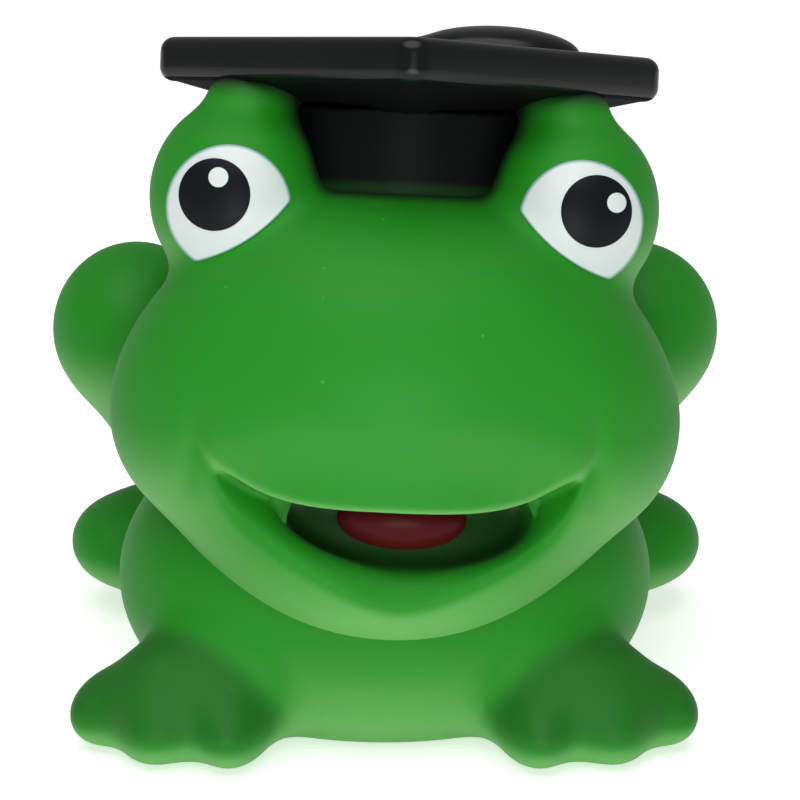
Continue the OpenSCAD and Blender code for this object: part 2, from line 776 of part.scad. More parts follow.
module right_hind_foot() {
    color(green) whole(function(p) hind_foot_form(p), hind_foot_core, hind_foot_l, hind_foot_counts);
}

module left_hind_foot() {
    other_side() right_hind_foot();
}

// Squeaker: a cup pressed up into the hole, held by its flange below and its snap ring above

module squeaker_housing() {
    flange_d = recess_d - 2 * seam;
    snap_low = floor_t + press;
    color("ivory") difference() {
        union() {
            translate([0, 0, flange_bottom]) cylinder(flange_t, d = flange_d, $fn = round_fn);
            translate([0, 0, flange_bottom])
                cylinder(housing_top - flange_bottom, d = housing_d, $fn = round_fn);
            translate([0, 0, snap_low])
                cylinder(snap_h, d1 = hole_d + 2 * snap_out, d2 = housing_d, $fn = round_fn);
        }
        translate([0, 0, flange_bottom - over])
            cylinder(ceiling - flange_bottom + over, d = cup_d, $fn = round_fn);
        translate([0, 0, ceiling - over])
            cylinder(housing_top_t + 2 * over, d = reed_bore_d, $fn = round_fn);
    }
}

module squeaker_cover() {
    ring_d = cup_d * 3 / 5;
    color("ivory") difference() {
        translate([0, 0, flange_bottom]) cylinder(cover_t, d = cup_d - 2 * press, $fn = round_fn);
        for (i = [0 : air_holes])
            rotate(full_turn * i / air_holes)
                translate([i == air_holes ? 0 : ring_d / 2, 0, flange_bottom - over])
                cylinder(cover_t + 2 * over, d = air_hole_d, $fn = round_fn / 2);
    }
}

// Half of the round plug in the reed's bore: the half behind the reed when side is 1, in front when -1
module half_plug(low, high, side, flat) {
    d = reed_bore_d - 2 * press;
    translate([0, 0, low]) intersection() {
        cylinder(high - low, d = d, $fn = round_fn);
        translate([-d, side > 0 ? flat : -flat - 2 * d, -over]) cube([2 * d, 2 * d, high - low + 2 * over]);
    }
}

module squeaker_reed_channel() {
    low = ceiling - channel_drop;
    color("gainsboro") difference() {
        half_plug(low, housing_top, 1, reed_t / 2 + reed_gap);
        translate([0, reed_t / 2 + reed_gap, low + housing_t])
            cylinder(housing_top - low, d = channel_d, $fn = round_fn / 2);
    }
}

module squeaker_reed_wedge() {
    color("gainsboro") half_plug(ceiling, housing_top, -1, reed_t / 2 + reed_play);
}

module squeaker_reed() {
    color("goldenrod") translate([-reed_w / 2, -reed_t / 2, reed_tip])
        cube([reed_w, reed_t, ceiling + housing_top_t / 4 - reed_tip]);
}

head_shell();
left_eye_white();
right_eye_white();
left_pupil();
right_pupil();
left_eye_glint();
right_eye_glint();
tongue();
cap_crown();
cap_board();
cap_tassel();
torso_shell();
left_front_foot();
right_front_foot();
left_hind_leg();
right_hind_leg();
left_hind_foot();
right_hind_foot();
squeaker_housing();
squeaker_cover();
squeaker_reed_channel();
squeaker_reed_wedge();
squeaker_reed();
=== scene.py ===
# Squeaky bath frog in a mortarboard: the looks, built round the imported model.
# Forms are worked out in millimetres and set into the meshes in metres.
import math

import bpy
import numpy as np
from mathutils import Matrix, Vector


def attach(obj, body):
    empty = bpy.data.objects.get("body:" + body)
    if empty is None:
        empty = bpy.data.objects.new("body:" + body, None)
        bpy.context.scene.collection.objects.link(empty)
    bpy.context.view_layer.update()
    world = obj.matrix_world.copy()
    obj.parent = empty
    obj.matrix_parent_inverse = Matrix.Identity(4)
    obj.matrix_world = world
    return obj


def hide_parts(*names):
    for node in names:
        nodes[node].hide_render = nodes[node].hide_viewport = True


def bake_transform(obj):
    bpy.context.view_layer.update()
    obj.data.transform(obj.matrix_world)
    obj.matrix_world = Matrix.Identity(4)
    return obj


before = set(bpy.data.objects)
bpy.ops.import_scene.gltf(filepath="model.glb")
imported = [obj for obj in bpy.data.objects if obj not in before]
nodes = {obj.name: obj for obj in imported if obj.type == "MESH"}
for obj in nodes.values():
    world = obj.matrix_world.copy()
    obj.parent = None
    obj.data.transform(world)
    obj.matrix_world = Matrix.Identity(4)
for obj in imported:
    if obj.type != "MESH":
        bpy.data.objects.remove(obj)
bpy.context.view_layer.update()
mm = 0.001
print("frame loaded:", len(nodes), "nodes")

# Soft forms: a number for each point, below zero inside.
# A lump is its middle and its size; a core is a point inside, and a reach goes past the skin from there.

head = {
    "at": (1.3, -7.0, 39.0), "tilt": 15.0, "lean": 2.6,
    "snout": ((0, -4.5, 6.5), (62, 52, 48)),
    "cheek": ((19.2, -3, -0.4), (33.2, 35, 30.4)),
    "jaw": ((0, -3.4, -13.8), (45.2, 43.8, 31.6)),
    "eyeBulge": ((20.8, -5.5, 27.3), (22.4, 24.8, 24.6)),
    "browNeck": ((19.0, -6.2, 40.2), (11, 9.5, 6)), "neckBlend": 4.0,
    "blend": 9.0, "eyeBlend": 3.5, "seam": 0.12,
    "reach": 62, "neckReach": 12, "voxel": 0.5,
}
mouth = {
    "lipDrop": 10.0, "smileWidth": 48.0, "smileRise": 7.6, "sideways": 1.2,
    "lowerLipDrop": 22.6, "lipSlope": 0.64, "lipMiddle": 5.5, "cornerRise": 2.0,
    "width": 48.0, "floorSlope": 1.25, "cornerSlope": 0.7, "back": 4.0, "wall": 1.4,
    "lipRound": 0.9, "pocketRound": 1.5, "cornerSoft": 0.8, "cornerRound": 5.0, "backRound": 2.0,
    "hollow": ((1.6, -14.5, -11.0), (28.5, 15, 12.8)), "hollowBlend": 5.0,
    "hollowCore": (1.6, -19.0, -12.5), "hollowReach": 20,
    "foldDepth": 0.7, "foldWidth": 1.5, "foldX": 24.6, "foldLow": -11.0, "foldHigh": 6.0,
    "paleShare": 1.6, "paleDepth": 1.5,
}
body = {
    "torso": ((0, -1, 15.5), (69.6, 57, 46)),
    "neck": ((0, 0, 30), (48, 44, 24)), "neckBlend": 6.0,
    "footPad": ((23.8, -22, 6.4), (23.2, 17, 17.4)), "footBlend": 5.0,
    "toeSize": (8.2, 12.4, 8.8), "toeBlend": 3.6,
    "toes": ((18.9, -27.6, 12), (29.3, -25.9, -8), (35.1, -20.5, 28)),  # right, forward, turn
    "toeRise": 4.5, "floorRound": 1.2,
    "holes": ((20.6, -1, 1.2), (16, -1, 4), (20, 2.8, 13)),  # across, from, to
    "holeSides": 96, "footTopFade": 4, "footTopFrom": 3,
    "reach": 60, "footReach": 30, "voxel": 0.55,
}
legs = {
    "knee": ((33.6, 21, 42.2), (22.4, 26, 23)),
    "thigh": ((24, 26, 24), (21, 21, 38)), "thighLean": 38.0, "thighTip": 8.0, "kneeBlend": 7.0,
    "foot": ((35.8, 26.5, 9.6), (15.8, 19, 12.4)),
    "heel": ((28, 26.5, 9.6), (18, 18, 18)), "heelBlend": 5.0, "ankleBlend": 3.0,
    "sink": 0.8, "core": (28.8, 28.75, 33.1), "footCore": (32, 26.5, 9.6),
    "reach": 48, "voxel": 0.55,
}


def turnAbout(axis, angle):
    return np.array(Matrix.Rotation(math.radians(angle), 3, axis))


headTurn = turnAbout("Y", head["lean"]) @ turnAbout("X", -head["tilt"])


def toHead(p):
    return (p - np.array(head["at"])) @ headTurn


def fromHead(q):
    return q @ headTurn.T + np.array(head["at"])


def pointInHead(point):
    return fromHead(np.array([point], float))[0]


def lump(p, place, turn=None):
    at, size = (np.array(v, float) for v in place)
    q = p - at
    if turn is not None:
        q = q @ turn
    near = np.linalg.norm(q / (size / 2), axis=1)
    slope = np.linalg.norm(q / (size / 2) ** 2, axis=1)
    return near * (near - 1) / np.maximum(slope, 1e-9)


def melt(a, b, reach):
    shared = np.maximum(reach - np.abs(a - b), 0)
    return np.minimum(a, b) - shared ** 2 / (4 * reach)


def meet(a, b, reach):
    return -melt(-a, -b, reach)


def oneSide(p):
    return np.column_stack([np.abs(p[:, 0]), p[:, 1], p[:, 2]])


def snoutForm(q):
    form = melt(lump(q, head["snout"]), lump(oneSide(q), head["cheek"]), head["blend"])
    return melt(form, lump(q, head["jaw"]), head["blend"])


def headSkinForm(q):
    return melt(snoutForm(q), lump(oneSide(q), head["eyeBulge"]), head["eyeBlend"])


def torsoForm(p):
    return melt(lump(p, body["torso"]), lump(p, body["neck"]), body["neckBlend"])


def overTorso(q):
    # The mouth keeps a wall between itself and the torso's top
    return mouth["wall"] - torsoForm(fromHead(q))


def upperLip(x):
    return mouth["smileRise"] * (np.abs(x) / (mouth["smileWidth"] / 2)) ** 4 - mouth["lipDrop"]


def mouthForm(q, skin, deep):
    across = np.abs(q[:, 0])
    out = np.abs(q[:, 0] - mouth["sideways"])
    middle = mouth["lipMiddle"]
    upper = upperLip(q[:, 0])
    lower = (mouth["lipSlope"] * (np.hypot(out, middle) - middle)
             + mouth["cornerRise"] * (out / (mouth["width"] / 2)) ** 6 - mouth["lowerLipDrop"])
    slope = mouth["floorSlope"] + mouth["cornerSlope"] * (across / (mouth["width"] / 2)) ** 4
    overFloor = (lower - slope * skin - q[:, 2]) / np.hypot(1, slope)
    if deep:
        # A hollow under the upper lip, round the tongue
        overFloor = melt(overFloor, lump(q, mouth["hollow"]), mouth["hollowBlend"])
    slot = meet(q[:, 2] - upper, overFloor, mouth["pocketRound"])
    wide = meet(slot, mouth["cornerSoft"] * (across - mouth["width"] / 2), mouth["cornerRound"])
    pocket = meet(wide, q[:, 1] + mouth["back"], mouth["backRound"])
    return meet(pocket, overTorso(q), mouth["backRound"])


def hollowForm(q):
    deep = meet(lump(q, mouth["hollow"]), q[:, 2] - upperLip(q[:, 0]), mouth["pocketRound"])
    return meet(deep, overTorso(q), mouth["backRound"])


def cheekFold(q):
    # A soft crease that runs down past each corner of the mouth
    across = np.exp(-((np.abs(q[:, 0]) - mouth["foldX"]) / mouth["foldWidth"]) ** 2)
    middle = (mouth["foldLow"] + mouth["foldHigh"]) / 2
    half = (mouth["foldHigh"] - mouth["foldLow"]) / 2
    along = np.clip(1 - ((q[:, 2] - middle) / half) ** 2, 0, 1) ** 2
    return mouth["foldDepth"] * across * along * (q[:, 1] < 0)


def browNeckForm(q):
    return lump(oneSide(q), head["browNeck"])


def plainHeadForm(q):
    skin = headSkinForm(q)
    return meet(skin, -mouthForm(q, skin, False), mouth["lipRound"])


def headForm(q):
    skin = headSkinForm(q)
    form = meet(skin, -mouthForm(q, skin, True), mouth["lipRound"]) + cheekFold(q)
    return melt(form, browNeckForm(q), head["neckBlend"])


def frontFootForm(p):
    form = lump(p, body["footPad"])
    for x, y, turn in body["toes"]:
        form = melt(form, lump(p, ((x, y, body["toeRise"]), body["toeSize"]), turnAbout("Z", turn)),
                    body["toeBlend"])
    return form


def bodyForm(p):
    form = melt(torsoForm(p), frontFootForm(oneSide(p)), body["footBlend"])
    return meet(form, -p[:, 2], body["floorRound"])


thighTurn = turnAbout("Y", legs["thighLean"]) @ turnAbout("X", legs["thighTip"])


def upperLegForm(p):
    m = oneSide(p)
    return melt(lump(m, legs["knee"]), lump(m, legs["thigh"], thighTurn), legs["kneeBlend"])


def hindFootForm(p):
    m = oneSide(p)
    return melt(lump(m, legs["foot"]), lump(m, legs["heel"]), legs["heelBlend"])


def legForm(p):
    return melt(upperLegForm(p), hindFootForm(p), legs["ankleBlend"])


# Meshes

def deselectAll():
    if bpy.context.object and bpy.context.object.mode != "OBJECT":
        bpy.ops.object.mode_set(mode="OBJECT")
    bpy.ops.object.select_all(action="DESELECT")


def pickOnly(piece):
    deselectAll()
    piece.select_set(True)
    bpy.context.view_layer.objects.active = piece


def namePiece(piece, name):
    piece.name = name
    piece.data.name = name
    return piece


def getPoints(piece):
    flat = np.empty(len(piece.data.vertices) * 3)
    piece.data.vertices.foreach_get("co", flat)
    return flat.reshape(-1, 3) / mm


def setPoints(piece, points):
    piece.data.vertices.foreach_set("co", (points * mm).ravel())
    piece.data.update()


def applyModifier(piece, kind, **settings):
    pickOnly(piece)
    modifier = piece.modifiers.new(kind.title(), kind)
    for key, value in settings.items():
        setattr(modifier, key, value)
    bpy.ops.object.modifier_apply(modifier=modifier.name)


def closeIn(form, starts, ways, near, far, halvings):
    # Halves the stretch of each way in which it leaves the form
    for _ in range(halvings):
        half = (near + far) / 2
        inside = form(starts + ways * half[:, None]) < 0
        near = np.where(inside, half, near)
        far = np.where(inside, far, half)
    return starts + ways * ((near + far) / 2)[:, None]


def wayOut(form, core, ways, reach, looks=24, halvings=14):
    # The first place where each way from the core leaves the form
    near = np.zeros(len(ways))
    far = np.full(len(ways), float(reach))
    found = np.zeros(len(ways), bool)
    for look in range(1, looks + 1):
        distance = reach * look / looks
        out = form(core + ways * distance) > 0
        fresh = out & ~found
        far[fresh] = distance
        near[fresh] = distance - reach / looks
        found |= out
    return closeIn(form, core, ways, near, far, halvings)


def slopeOf(form, p, step=0.02):
    slope = np.empty_like(p)
    for axis in range(3):
        move = np.zeros(3)
        move[axis] = step
        slope[:, axis] = (form(p + move) - form(p - move)) / (2 * step)
    return slope


def settle(piece, form, rounds, leastSlope=0.1, mostPush=0.3):
    # Moves each point onto the form's skin in a few small steps
    p = getPoints(piece)
    for _ in range(rounds):
        slope = slopeOf(form, p)
        push = form(p) / np.maximum((slope ** 2).sum(1), leastSlope)
        p = p - np.clip(push, -mostPush, mostPush)[:, None] * slope
    setPoints(piece, p)


def ballOf(name, form, core, reach, detail=7):
    deselectAll()
    bpy.ops.mesh.primitive_ico_sphere_add(subdivisions=detail, radius=mm)
    piece = namePiece(bpy.context.object, name)
    ways = getPoints(piece)
    ways /= np.linalg.norm(ways, axis=1)[:, None]
    setPoints(piece, wayOut(form, np.array(core, float), ways, reach))
    return piece


def cutAway(piece, cutter):
    applyModifier(piece, "BOOLEAN", operation="DIFFERENCE", object=cutter, solver="EXACT")
    bpy.data.objects.remove(cutter)


def remesh(piece, voxel):
    applyModifier(piece, "REMESH", mode="VOXEL", voxel_size=voxel * mm)


def smooth(piece, iterations):
    applyModifier(piece, "SMOOTH", factor=0.5, iterations=iterations)


def softPiece(name, lumps, form, voxel, detail=7, rounds=6, hollows=(), hollowDetail=5, lastRounds=3):
    # Balls are drawn out to their lumps, joined, remeshed to one skin and settled on the whole form
    balls = [ballOf(name, *lumpForm, detail) for lumpForm in lumps]
    pickOnly(balls[0])
    for ball in balls:
        ball.select_set(True)
    bpy.ops.object.join()
    piece = namePiece(bpy.context.object, name)
    remesh(piece, voxel)
    for hollow in hollows:
        cutAway(piece, ballOf("hollow", *hollow, hollowDetail))
        remesh(piece, voxel)
        smooth(piece, 4)
        settle(piece, form, rounds)
        remesh(piece, voxel)
    settle(piece, form, rounds)
    smooth(piece, 3)
    settle(piece, form, lastRounds)
    pickOnly(piece)
    bpy.ops.object.shade_smooth()
    return piece


def sharpenCuts(piece, angle=50):
    pickOnly(piece)
    bpy.ops.object.shade_smooth_by_angle(angle=math.radians(angle))


def cutByTorso(piece, name, grow):
    # What lies against the torso is cut away where the torso is, with its skin grown or drawn in
    cutter = ballOf(name, lambda p: torsoForm(p) - grow, body["torso"][0], body["reach"], detail=6)
    cutAway(piece, cutter)


def writeMask(piece, name, values):
    mask = piece.data.attributes.new(name, "FLOAT", "POINT")
    mask.data.foreach_set("value", np.asarray(values, np.float32))


def markUnderLight(piece, share=1.0):
    # How far each point of the skin faces down, for painted light: the underside is painted paler green,
    # standing in for light bounced up from the floor
    normals = np.empty(len(piece.data.vertices) * 3)
    piece.data.vertices.foreach_get("normal", normals)
    writeMask(piece, "paintedUnderLight", -normals.reshape(-1, 3)[:, 2] * share)


# Head, with its mouth

def wholeHeadForm(p):
    return headForm(toHead(p))


def makeHead():
    lumps = [(lambda p: plainHeadForm(toHead(p)), head["at"], head["reach"])]
    x, y, z = head["browNeck"][0]
    for side in (-1, 1):
        neckAt = pointInHead((side * x, y, z))
        lumps.append((lambda p: browNeckForm(toHead(p)), neckAt, head["neckReach"]))
    hollow = (lambda p: hollowForm(toHead(p)), pointInHead(mouth["hollowCore"]), mouth["hollowReach"])
    piece = softPiece("headSkin", lumps, wholeHeadForm, head["voxel"], hollows=[hollow])
    # The torso's top shapes the hollow under the chin, where the seam runs
    cutByTorso(piece, "chinHollow", head["seam"])
    sharpenCuts(piece)
    q = toHead(getPoints(piece))
    # How far each point is from the cap's paint, and from the middle of the mouth's hollow, which is
    # painted dark as shade
    toCrown = np.hypot(q[:, 0], q[:, 1] - cap["back"]) - cap["crownSize"] / 2
    toBoard = cap["boardRise"] + cap["spray"] - q[:, 2]
    toCap = melt(toCrown, toBoard, cap["sprayBlend"])
    writeMask(piece, "toCap", np.where(q[:, 2] < cap["sprayFrom"], cap["unsprayed"], toCap))
    writeMask(piece, "hollow", lump(q, mouth["hollow"]))
    # Inside the mouth no painted bounce light is laid on
    markUnderLight(piece, np.clip(mouth["paleShare"] + headSkinForm(q) / mouth["paleDepth"], 0, 1))
    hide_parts("head_shell")
    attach(piece, "head")
    return piece


# Torso and front feet, one skin with the squeaker's hole in its base

def onFloor(p, form):
    return meet(form, -p[:, 2], body["floorRound"])


def makeBody():
    x, y, z = body["footPad"][0]
    lumps = [(lambda p: onFloor(p, torsoForm(p)), body["torso"][0], body["reach"])]
    for side in (-1, 1):
        lumps.append((lambda p: onFloor(p, frontFootForm(oneSide(p))), (side * x, y, z),
                      body["footReach"]))
    piece = softPiece("bodySkin", lumps, bodyForm, body["voxel"], rounds=12)
    for size, low, high in body["holes"]:
        cutHole(piece, size, low, high)
    sharpenCuts(piece)
    markUnderLight(piece)
    p = getPoints(piece)
    # Painted shade on top of the feet, under the overhanging head: one there, fading to nothing at the
    # floor and turning negative on the torso
    onFoot = np.clip((torsoForm(p) - frontFootForm(oneSide(p))) / body["footTopFade"], -1, 1)
    high = np.clip((p[:, 2] - body["footTopFrom"]) / body["footTopFade"], 0, 1)
    writeMask(piece, "paintedFootShade", onFoot * high)
    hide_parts("torso_shell", "left_front_foot", "right_front_foot")
    return piece


def cutHole(piece, size, low, high):
    deselectAll()
    bpy.ops.mesh.primitive_cylinder_add(vertices=body["holeSides"], radius=size / 2 * mm,
                                        depth=(high - low) * mm,
                                        location=(0, 0, (high + low) / 2 * mm))
    cutAway(piece, bpy.context.object)


# Hind legs, each with its foot

def makeLegs():
    made = []
    for side, word in ((-1, "left"), (1, "right")):
        lumps = []
        for part, (x, y, z) in ((upperLegForm, legs["core"]), (hindFootForm, legs["footCore"])):
            lumps.append((part, (side * x, y, z), legs["reach"]))
        piece = softPiece(word + "Leg", lumps, legForm, legs["voxel"], detail=6, rounds=10)
        cutByTorso(piece, "flankHollow", -legs["sink"])
        sharpenCuts(piece)
        markUnderLight(piece)
        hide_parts(word + "_hind_leg", word + "_hind_foot")
        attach(piece, "base")
        made.append(piece)
    return made


# Eyes: thin lenses of paint that follow the bulge

eye = {
    "whiteAt": (21.7, 25.73), "whiteSize": 15.6, "lidRadius": 20.5, "lidDrop": 4.6, "lidTurn": 235.0,
    "pupilAt": (23.42, 27.29), "pupilSize": 8.9, "glintSize": 2.5,
    "rightGlint": (2.4, 1.16), "leftGlint": (-0.45, 2.14),
    "whiteLift": (-0.1, 0.2), "pupilLift": (0.0, 0.34), "glintLift": (0.1, 0.46),
    "whiteSides": 128, "pupilSides": 96, "glintSides": 48,
    "startY": -5.5, "reach": 26.0, "edgeSharpness": 0.25, "halvings": 20,
}


def whiteReach(angle):
    away = eye["lidRadius"] - eye["lidDrop"]
    along = away * np.cos(angle - math.radians(eye["lidTurn"]))
    lid = np.sqrt(along ** 2 - away ** 2 + eye["lidRadius"] ** 2) - along
    return np.minimum(eye["whiteSize"] / 2, lid)


def roundReach(size):
    return lambda angle: np.full(len(angle), size / 2)


def eyePad(name, node, middle, reachOf, lifts, side, sides):
    # A ball is flattened to a lens, and pushed forward out of the bulge to its lift over the skin
    deselectAll()
    bpy.ops.mesh.primitive_uv_sphere_add(segments=sides, ring_count=sides // 2, radius=mm)
    piece = namePiece(bpy.context.object, name)
    ball = getPoints(piece)
    share = np.minimum(np.hypot(ball[:, 0], ball[:, 1]), 1)
    angle = np.arctan2(ball[:, 1], ball[:, 0])
    reach = share * reachOf(angle)
    low, high = lifts
    bulge = np.sign(ball[:, 2]) * np.abs(ball[:, 2]) ** eye["edgeSharpness"]
    lift = (low + high) / 2 + bulge * (high - low) / 2
    starts = np.column_stack([middle[0] + reach * np.cos(angle), np.full(len(ball), eye["startY"]),
                              middle[1] + reach * np.sin(angle)])
    forward = np.tile((0.0, -1.0, 0.0), (len(ball), 1))
    q = closeIn(lambda points: headSkinForm(points) - lift, starts, forward,
                np.zeros(len(ball)), np.full(len(ball), eye["reach"]), eye["halvings"])
    q[:, 0] *= side
    setPoints(piece, fromHead(q))
    writeMask(piece, "rim", share)
    pickOnly(piece)
    bpy.ops.object.mode_set(mode="EDIT")
    bpy.ops.mesh.select_all(action="SELECT")
    bpy.ops.mesh.normals_make_consistent(inside=False)
    bpy.ops.object.mode_set(mode="OBJECT")
    bpy.ops.object.shade_smooth()
    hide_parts(node)
    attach(piece, "head")
    return piece


def makeEyes():
    made = {"white": [], "pupil": [], "glint": []}
    for side, word in ((-1, "left"), (1, "right")):
        glint = eye[word + "Glint"]
        glintAt = (eye["pupilAt"][0] + glint[0], eye["pupilAt"][1] + glint[1])
        made["white"].append(eyePad(word + "EyeWhite", word + "_eye_white", eye["whiteAt"], whiteReach,
                                    eye["whiteLift"], side, eye["whiteSides"]))
        made["pupil"].append(eyePad(word + "Pupil", word + "_pupil", eye["pupilAt"],
                                    roundReach(eye["pupilSize"]),
                                    eye["pupilLift"], side, eye["pupilSides"]))
        made["glint"].append(eyePad(word + "EyeGlint", word + "_eye_glint", glintAt,
                                    roundReach(eye["glintSize"]),
                                    eye["glintLift"], side, eye["glintSides"]))
    return made


# Tongue

tongue = {
    "lump": ((1.2, -17.6, -11.4), (16, 11, 7.6)), "sink": 0.6, "edgeRound": 1.2,
    "core": (1.2, -18.2, -11.8), "reach": 12, "voxel": 0.3,
}


def tongueForm(p):
    q = toHead(p)
    return meet(lump(q, tongue["lump"]), -tongue["sink"] - headForm(q), tongue["edgeRound"])


def makeTongue():
    lumps = [(tongueForm, pointInHead(tongue["core"]), tongue["reach"])]
    piece = softPiece("tonguePaint", lumps, tongueForm, tongue["voxel"], detail=6)
    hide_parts("tongue")
    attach(piece, "head")
    return piece


# Cap: skull cap, board and tassel

cap = {
    "back": 0.6, "crownSize": 31.6, "crownTop": 38.8, "crownSink": 2.0,
    "crownCore": 36, "crownReach": 36, "voxel": 0.45,
    "boardSide": 46.6, "boardRise": 41.4, "boardThick": 5.6, "boardTurn": 45,
    "cornerRound": 3.0, "cornerSteps": 10, "rimRound": 1.8, "rimSteps": 8, "edgeAngle": 35,
    "level": 0.01, "underShare": 0.8, "underRim": 0.3, "underInset": 0.1, "underDrop": 0.7,
    "facingDown": -0.9, "dullFacing": -0.6,
    "tassel": ((11.0, 0.6, 47.0), (21, 13, 6.4)), "button": ((0, 0.6, 47.0), (7, 7, 2.4)),
    "tasselBlend": 1.2, "tasselSink": 0.5,
    "tasselCore": (8.0, 0.6, 47.2), "tasselReach": 24, "tasselVoxel": 0.3,
    "spray": 0.4, "sprayBlend": 6, "sprayFrom": 15, "unsprayed": 99,
}


def crownForm(p):
    q = toHead(p)
    radial = np.hypot(q[:, 0], q[:, 1] - cap["back"]) - cap["crownSize"] / 2
    return np.maximum.reduce([radial, q[:, 2] - cap["crownTop"], -cap["crownSink"] - headSkinForm(q)])


def tasselForm(p):
    q = toHead(p)
    form = melt(lump(q, cap["tassel"]), lump(q, cap["button"]), cap["tasselBlend"])
    top = cap["boardRise"] + cap["boardThick"]
    return np.maximum(form, top - cap["tasselSink"] - q[:, 2])


def selectEdges(piece, test):
    # Leaves the piece in edit mode, with the edges chosen whose two ends pass the test
    bpy.context.tool_settings.mesh_select_mode = (False, True, False)
    if piece.mode == "OBJECT":
        bpy.ops.object.mode_set(mode="EDIT")
    bpy.ops.mesh.select_all(action="DESELECT")
    bpy.ops.object.mode_set(mode="OBJECT")
    for edge in piece.data.edges:
        a, b = (piece.data.vertices[i].co / mm for i in edge.vertices)
        edge.select = test(a, b)
    bpy.ops.object.mode_set(mode="EDIT")


def makeBoard():
    low = cap["boardRise"]
    high = low + cap["boardThick"]
    deselectAll()
    bpy.ops.mesh.primitive_cube_add(size=mm)
    piece = namePiece(bpy.context.object, "capBoard")
    points = getPoints(piece) * np.array([cap["boardSide"], cap["boardSide"], cap["boardThick"]])
    setPoints(piece, points + np.array([0, 0, (low + high) / 2]))
    # First the four upright corners, then the level rims above and below
    selectEdges(piece, lambda a, b: abs(a.z - b.z) > cap["boardThick"] / 2)
    bpy.ops.mesh.bevel(offset=cap["cornerRound"] * mm, segments=cap["cornerSteps"], affect="EDGES")
    selectEdges(piece, lambda a, b: abs(a.z - b.z) < cap["level"])
    bpy.ops.mesh.bevel(offset=cap["rimRound"] * mm, segments=cap["rimSteps"], affect="EDGES")
    # The underside is drawn down to the round top of the skull cap
    bpy.ops.mesh.select_all(action="DESELECT")
    bpy.context.tool_settings.mesh_select_mode = (False, False, True)
    bpy.ops.object.mode_set(mode="OBJECT")
    wide = (cap["boardSide"] * cap["underShare"] * mm) ** 2
    for face in piece.data.polygons:
        face.select = face.normal.z < cap["facingDown"] and face.area > wide
    bpy.ops.object.mode_set(mode="EDIT")
    bpy.ops.mesh.inset(thickness=cap["underRim"] * mm)
    bpy.ops.mesh.extrude_region()
    bpy.ops.object.mode_set(mode="OBJECT")
    bpy.context.tool_settings.mesh_select_mode = (True, False, False)
    disc = [v.index for v in piece.data.vertices if v.select]
    points = getPoints(piece)
    flat = points[disc][:, :2]
    radius = (cap["crownSize"] / 2 - cap["underInset"]) / np.linalg.norm(flat, axis=1)
    height = np.full(len(disc), cap["crownTop"] - cap["underDrop"])
    points[disc] = np.column_stack([flat * radius[:, None], height])
    points = points @ turnAbout("Z", cap["boardTurn"]).T + np.array([0, cap["back"], 0])
    setPoints(piece, fromHead(points))
    sharpenCuts(piece, cap["edgeAngle"])
    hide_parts("cap_board")
    return piece


def makeCap():
    lumps = [(crownForm, pointInHead((0, cap["back"], cap["crownCore"])), cap["crownReach"])]
    crown = softPiece("capCrown", lumps, crownForm, cap["voxel"])
    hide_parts("cap_crown")
    # How far each point of the skull cap stands off the snout, for its unpainted green foot, whose green
    # is painted darker as shade
    writeMask(crown, "foot", snoutForm(toHead(getPoints(crown))))
    board = makeBoard()
    lumps = [(tasselForm, pointInHead(cap["tasselCore"]), cap["tasselReach"])]
    tassel = softPiece("capTassel", lumps, tasselForm, cap["tasselVoxel"], detail=6)
    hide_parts("cap_tassel")
    for piece in (crown, board, tassel):
        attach(piece, "head")
    return crown, board, tassel


# Materials

def srgb(r, g, b):
    parts = [v / 255 for v in (r, g, b)]
    return tuple(v / 12.92 if v <= 0.04045 else ((v + 0.055) / 1.055) ** 2.4 for v in parts) + (1.0,)


def setOrLink(graph, socket, value):
    # A value is a number, a colour or another node's output
    if isinstance(value, bpy.types.NodeSocket):
        graph.links.new(value, socket)
    else:
        socket.default_value = value


def addMath(graph, operation, *values):
    node = graph.nodes.new("ShaderNodeMath")
    node.operation = operation
    for socket, value in zip(node.inputs, values):
        setOrLink(graph, socket, value)
    return node.outputs[0]


def addRange(graph, value, spread, results=(0.0, 1.0), interpolation="LINEAR"):
    # As the value goes over the spread, the output goes over the results
    node = graph.nodes.new("ShaderNodeMapRange")
    node.interpolation_type = interpolation
    graph.links.new(value, node.inputs["Value"])
    for name, limit in zip(("From Min", "From Max", "To Min", "To Max"), (*spread, *results)):
        node.inputs[name].default_value = limit
    return node.outputs[0]


def addMix(graph, share, under, over):
    node = graph.nodes.new("ShaderNodeMix")
    node.data_type = "RGBA"
    for place, value in ((0, share), (6, under), (7, over)):
        setOrLink(graph, node.inputs[place], value)
    return node.outputs[2]


moulding = {
    "cloudDetail": 4, "roughShift": 0.25,
    "speckScale": 420, "speckEdge": (0.05, 0.11), "speckRarity": 0.93,
    "speckColour": (120, 190, 110), "speckHeight": 0.5,
    "grainScale": 1500, "grainDetail": 2, "bumpDepth": 0.02,
}


